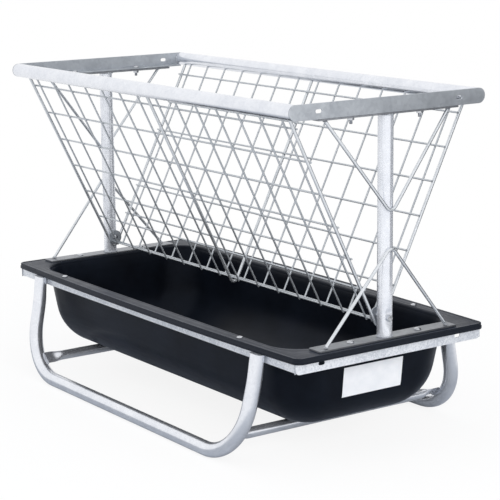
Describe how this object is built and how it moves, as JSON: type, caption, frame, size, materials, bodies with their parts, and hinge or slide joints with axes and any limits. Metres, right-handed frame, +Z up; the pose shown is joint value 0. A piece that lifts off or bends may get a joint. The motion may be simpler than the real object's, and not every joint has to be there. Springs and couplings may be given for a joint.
{
  "type": "sheep bunk feeder",
  "caption": "Freestanding livestock feeder: a moulded black trough in a galvanised frame on tube skids, under a V-shaped hay rack of welded wire.",
  "frame": {"origin": "on the ground, under the middle of the feeder", "axes": "+X along the feeder to the end with the blank decal, +Y across it, +Z up"},
  "size_m": [1.546, 0.8268, 0.9947],
  "materials": {
    "galvanised_steel": "hot-dip galvanised, satin",
    "bright_zinc_wire": "bright galvanised wire",
    "zinc_plated_fastener": "zinc plated",
    "black_polyethylene": "moulded, satin black",
    "white_vinyl": "plain white vinyl"
  },
  "bodies": {
    "root": {"basket_bolt_left": "zinc_plated_fastener", "basket_bolt_right": "zinc_plated_fastener", "basket_nut_left": "zinc_plated_fastener", "basket_nut_right": "zinc_plated_fastener", "blank_decal": "white_vinyl", "clamp_plate_left": "galvanised_steel", "clamp_plate_right": "galvanised_steel", "cross_tube_left": "galvanised_steel", "cross_tube_right": "galvanised_steel", "foot_bolt_left_back": "zinc_plated_fastener", "foot_bolt_left_front": "zinc_plated_fastener", "foot_bolt_right_back": "zinc_plated_fastener", "foot_bolt_right_front": "zinc_plated_fastener", "foot_nut_left_back": "zinc_plated_fastener", "foot_nut_left_front": "zinc_plated_fastener", "foot_nut_right_back": "zinc_plated_fastener", "foot_nut_right_front": "zinc_plated_fastener", "foot_strap_left": "galvanised_steel", "foot_strap_right": "galvanised_steel", "lower_brace_left": "galvanised_steel", "lower_brace_right": "galvanised_steel", "post_left": "galvanised_steel", "post_right": "galvanised_steel", "rail_back": "galvanised_steel", "rail_front": "galvanised_steel", "rail_left_end": "galvanised_steel", "rail_right_end": "galvanised_steel", "rim_bolt_left_back": "zinc_plated_fastener", "rim_bolt_left_front": "zinc_plated_fastener", "rim_bolt_right_back": "zinc_plated_fastener", "rim_bolt_right_front": "zinc_plated_fastener", "rim_nut_left_back": "zinc_plated_fastener", "rim_nut_left_front": "zinc_plated_fastener", "rim_nut_right_back": "zinc_plated_fastener", "rim_nut_right_front": "zinc_plated_fastener", "skid_back": "galvanised_steel", "skid_front": "galvanised_steel", "top_angle_left": "galvanised_steel", "top_angle_right": "galvanised_steel", "top_bolt_left_back": "zinc_plated_fastener", "top_bolt_left_front": "zinc_plated_fastener", "top_bolt_right_back": "zinc_plated_fastener", "top_bolt_right_front": "zinc_plated_fastener", "top_nut_left_back": "zinc_plated_fastener", "top_nut_left_front": "zinc_plated_fastener", "top_nut_right_back": "zinc_plated_fastener", "top_nut_right_front": "zinc_plated_fastener", "top_strap_left": "galvanised_steel", "top_strap_right": "galvanised_steel", "top_tube_back": "galvanised_steel", "top_tube_front": "galvanised_steel", "trough": "black_polyethylene", "upper_brace_left": "galvanised_steel", "upper_brace_right": "galvanised_steel", "v_rod_left": "bright_zinc_wire", "v_rod_middle": "bright_zinc_wire", "v_rod_right": "bright_zinc_wire", "wire_panel_back": "bright_zinc_wire", "wire_panel_front": "bright_zinc_wire"}
  },
  "joints": []
}
